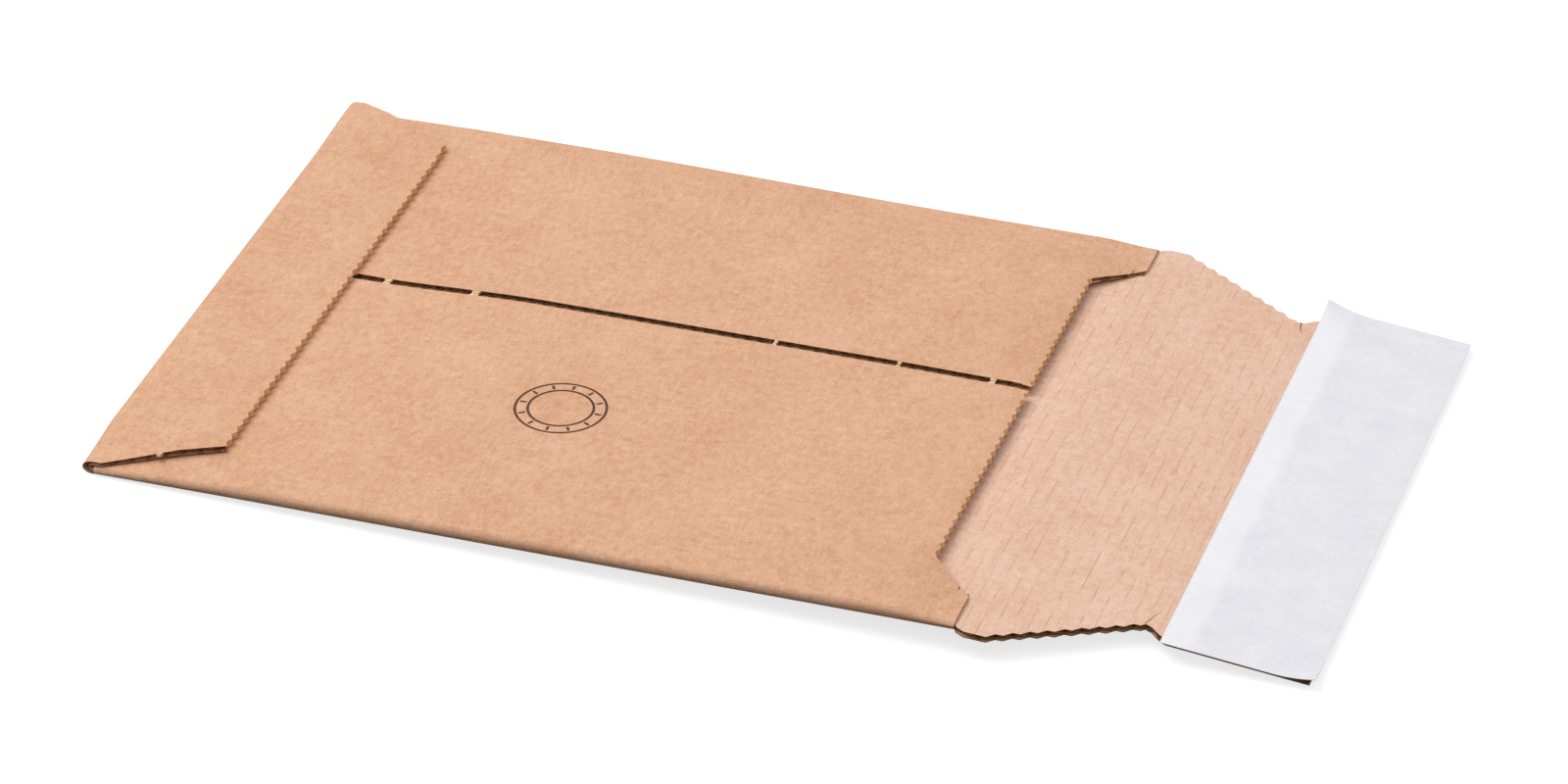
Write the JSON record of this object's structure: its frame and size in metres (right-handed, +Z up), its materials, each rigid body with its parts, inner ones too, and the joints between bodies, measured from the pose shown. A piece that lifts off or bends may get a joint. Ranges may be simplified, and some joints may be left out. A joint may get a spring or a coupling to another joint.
{
  "type": "corrugated cd mailer",
  "caption": "Flat corrugated board mailer for a compact disc, folded from one sheet, with a slit seam, glued bottom flap and hinged closure flap with peel-off adhesive strip.",
  "frame": {"origin": "on the table, under the middle of the mailer's outline with the closure flap open", "axes": "+X from the bottom fold to the closure flap, +Z up from the table with the seam side up, and +Y across, along the flutes"},
  "size_m": [0.2708, 0.162, 0.0093],
  "materials": {
    "kraft_outside": "matt brown kraft paper over fluting",
    "kraft_inside": "matt pinkish kraft paper with faint flute lines",
    "glue": "dried glue",
    "adhesive": "tacky hot melt film",
    "liner": "smooth bluish white coated paper"
  },
  "bodies": {
    "pocket": {"pocket": "kraft_outside", "bottom_flap_glue_far": "glue", "bottom_flap_glue_near": "glue"},
    "flap": {"closure_flap": "kraft_inside", "adhesive_strip": "adhesive", "release_liner": "liner"}
  },
  "joints": [
    {"name": "closure_crease", "type": "hinge", "parent": "pocket", "child": "flap", "pos_m": [0.06072, 0, 0.00823], "axis": [0, -1, 0], "range_deg": [0, 179]}
  ]
}
